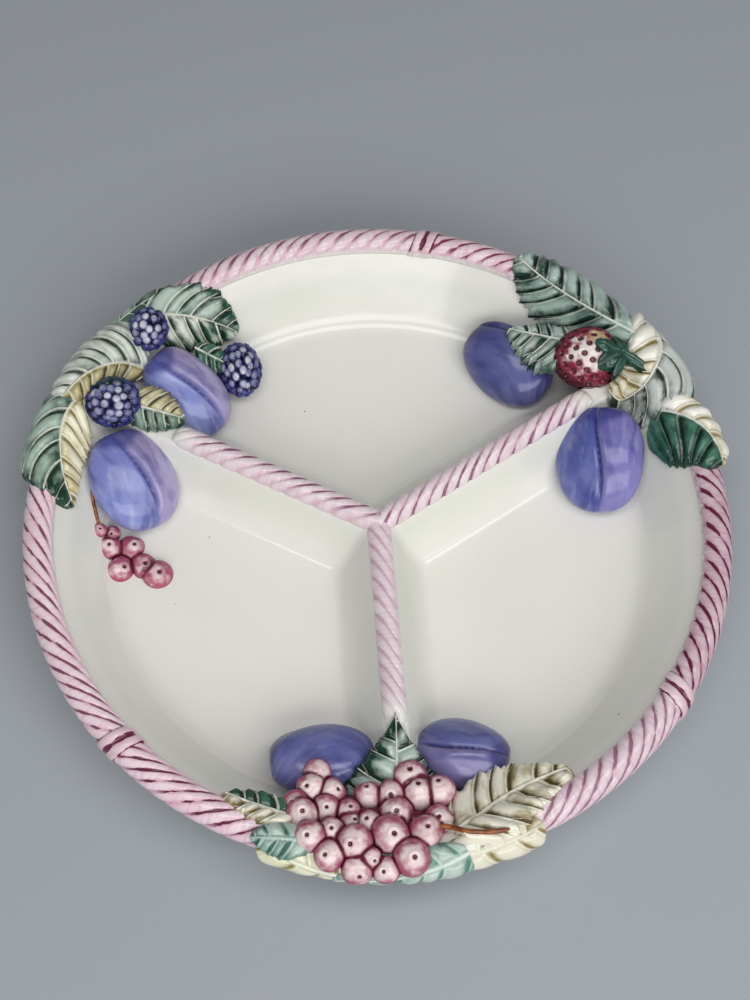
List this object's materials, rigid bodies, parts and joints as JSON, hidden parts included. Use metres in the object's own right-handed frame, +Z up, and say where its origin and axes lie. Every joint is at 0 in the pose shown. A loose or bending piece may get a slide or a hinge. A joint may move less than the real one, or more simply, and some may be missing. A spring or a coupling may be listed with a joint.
{
  "type": "antipasto dish",
  "caption": "Round divided serving dish in glazed earthenware, with a rope rim, rope-topped dividers and fruit-and-leaf sprays in relief.",
  "frame": {"origin": "centre of the flat base, on the surface that the dish stands on", "axes": "+Z up along the dish's axis; -Y towards the front spray of currants; +X to the right seen from the front"},
  "size_m": [0.3258, 0.3277, 0.0517],
  "materials": {
    "cream_glaze": "clear gloss glaze over a cream body",
    "pink_glaze": "pink glaze with wine brush strokes",
    "rose_glaze": "rose glaze with wine brush strokes",
    "plum_glaze": "brushed violet-blue glaze",
    "bramble_glaze": "dark blue glaze, thin on the high spots",
    "strawberry_glaze": "wine red glaze, thin on top",
    "currant_glaze": "rose glaze, pooled in the hollows",
    "green_glaze": "green glaze, thin on the veins",
    "sage_glaze": "pale grey-green glaze",
    "ivory_glaze": "ivory glaze with olive in the grooves",
    "brown_glaze": "brown glaze"
  },
  "bodies": {
    "root": {"dish_body": "cream_glaze", "divider_wall_right": "cream_glaze", "divider_wall_left": "cream_glaze", "divider_wall_front": "cream_glaze", "divider_rope_right": "pink_glaze", "divider_rope_left": "pink_glaze", "divider_rope_front": "pink_glaze", "rim_rope_back_a": "pink_glaze", "rim_rope_back_b": "pink_glaze", "rim_rope_left_a": "pink_glaze", "rim_rope_left_b": "pink_glaze", "rim_rope_right_a": "pink_glaze", "rim_rope_right_b": "pink_glaze", "rim_binding_back": "rose_glaze", "rim_binding_left": "rose_glaze", "rim_binding_right": "rose_glaze", "plum_left_back": "plum_glaze", "plum_left_front": "plum_glaze", "plum_right_back": "plum_glaze", "plum_right_front": "plum_glaze", "plum_front_left": "plum_glaze", "plum_front_right": "plum_glaze", "bramble_left_back": "bramble_glaze", "bramble_left_middle": "bramble_glaze", "bramble_left_inner": "bramble_glaze", "strawberry": "strawberry_glaze", "strawberry_calyx": "green_glaze", "currant_bunch": "currant_glaze", "currant_sprig": "currant_glaze", "currant_twig": "brown_glaze", "sprig_stem": "brown_glaze", "leaf_left_outer": "green_glaze", "leaf_left_middle": "sage_glaze", "leaf_left_back": "green_glaze", "leaf_left_front": "green_glaze", "leaf_left_divider": "green_glaze", "leaf_left_berry": "green_glaze", "leaf_right_middle": "sage_glaze", "leaf_right_back": "green_glaze", "leaf_right_front": "green_glaze", "leaf_right_fruit": "green_glaze", "leaf_front_low_left": "ivory_glaze", "leaf_front_low_middle": "sage_glaze", "leaf_front_low_right": "ivory_glaze", "leaf_front_left_blue": "green_glaze", "leaf_front_left": "green_glaze", "leaf_front_right": "ivory_glaze", "leaf_front_divider": "green_glaze"}
  },
  "joints": []
}
